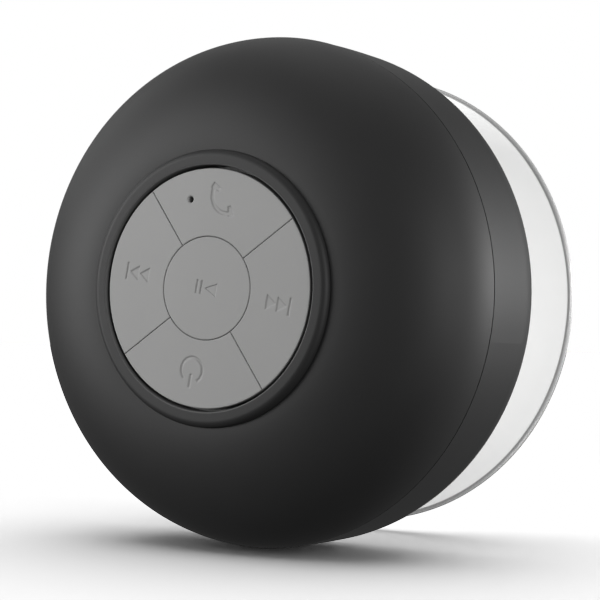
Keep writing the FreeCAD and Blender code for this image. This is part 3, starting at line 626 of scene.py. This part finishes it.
def round_floor(name, radius):
    """A flat disc of rings about the point under the body: point = origin + r cos a along + r sin a back."""
    rings, sides = 24, 96
    origin = np.array(floor_up * floor_height + body_middle)
    r = radius * np.linspace(0.001, 1, rings)[:, None, None]
    a = np.linspace(0, 2 * math.pi, sides, endpoint=False)[None, :, None]
    grid = origin + r * np.cos(a) * np.array(floor_along) + r * np.sin(a) * np.array(floor_back)
    number = np.arange(rings * sides).reshape(rings, sides)
    nxt = np.roll(number, -1, axis=1)
    faces = np.stack([number[:-1], number[1:], nxt[1:], nxt[:-1]], axis=-1).reshape(-1, 4).tolist()
    mesh = bpy.data.meshes.new(name)
    mesh.from_pydata(grid.reshape(-1, 3).tolist(), [], faces + [tuple(number[0].tolist())])
    return link(name, mesh, 180.0)


floor = round_floor("floor", 6.0)
dress(floor, material("pale_paper", (0.88, 0.88, 0.88), 0.9, 0.0))
floor.is_shadow_catcher = True
floor.visible_diffuse = False
floor.visible_glossy = False

world = bpy.data.worlds.new("studio")
world.use_nodes = True
tree = world.node_tree
soft_room = tree.nodes["Background"]
soft_room.inputs["Color"].default_value = (1, 1, 1, 1)
soft_room.inputs["Strength"].default_value = 0.177
white_room = tree.nodes.new("ShaderNodeBackground")
white_room.inputs["Color"].default_value = (1, 1, 1, 1)
path = tree.nodes.new("ShaderNodeLightPath")
seen = tree.nodes.new("ShaderNodeMixShader")
tree.links.new(path.outputs["Is Camera Ray"], seen.inputs["Fac"])
tree.links.new(soft_room.outputs["Background"], seen.inputs[1])
tree.links.new(white_room.outputs["Background"], seen.inputs[2])
tree.links.new(seen.outputs["Shader"], tree.nodes["World Output"].inputs["Surface"])
bpy.context.scene.world = world

off_floor = bpy.data.collections.new("off_floor")
off_floor.objects.link(floor)
off_floor.collection_objects[0].light_linking.link_state = "EXCLUDE"
on_floor = bpy.data.collections.new("on_floor")
on_floor.objects.link(floor)
off_cup = bpy.data.collections.new("off_cup")
for piece in (floor, suction_cup):
    off_cup.objects.link(piece)
for member in off_cup.collection_objects:
    member.light_linking.link_state = "EXCLUDE"
on_cup = bpy.data.collections.new("on_cup")
on_cup.objects.link(suction_cup)


def softbox(name, right, up, toward, side, watts):
    """A square studio light that faces the body and leaves the floor alone. Its place is given from the
    body's middle, along the camera's right, the floor's up and towards the camera."""
    lamp = bpy.data.lights.new(name, "AREA")
    lamp.size = side
    lamp.energy = watts
    light = bpy.data.objects.new(name, lamp)
    light.location = body_middle + camera_right * right + floor_up * up - camera_forward * toward
    light.rotation_euler = (body_middle - light.location).to_track_quat("-Z", "Y").to_euler()
    light.light_linking.receiver_collection = off_floor
    bpy.context.scene.collection.objects.link(light)
    return light


softbox("key_light", -0.9, 0.4, 0.3, 0.4, 6.9)
softbox("side_light", -0.95, 0.1, 0.07, 0.35, 9.3)
softbox("rim_light", 0.9, 0.06, -0.15, 0.2, 9.4)
softbox("high_rim_light", 0.85, 0.3, -0.35, 0.3, 0.8)
front_light = softbox("front_light", 0.6, 0.1, 0.75, 0.4, 9.0)
front_light.light_linking.blocker_collection = off_floor
left_back_light = softbox("left_back_light", -0.7, 0.5, -0.5, 0.5, 1.7)
left_back_light.light_linking.receiver_collection = off_cup
high_back_light = softbox("high_back_light", 0.0, 0.8, -0.6, 0.8, 1.5)
high_back_light.light_linking.receiver_collection = off_cup
cup_light = softbox("cup_light", 0.45, -0.85, 0.35, 0.4, 5.0)
cup_light.light_linking.receiver_collection = on_cup
cup_light.light_linking.blocker_collection = off_floor
softbox("top_light", 0.0, 1.0, 0.0, 0.8, 3.35)
floor_light = softbox("floor_light", 0.0, 1.0, 0.0, 1.5, 8.0)
floor_light.light_linking.receiver_collection = on_floor

camera = bpy.data.cameras.new("camera")
camera.sensor_width = 36.0
camera.lens = 95.1
camera.clip_start = 0.01
camera.clip_end = 20.0
viewpoint = bpy.data.objects.new("camera", camera)
turn = Matrix((camera_right, camera_up, -camera_forward)).transposed()
viewpoint.matrix_world = Matrix.Translation(Vector((0.13817, -0.26229, 0.01839))) @ turn.to_4x4()
bpy.context.scene.collection.objects.link(viewpoint)
bpy.context.scene.camera = viewpoint
bpy.context.scene.view_settings.view_transform = "Standard"
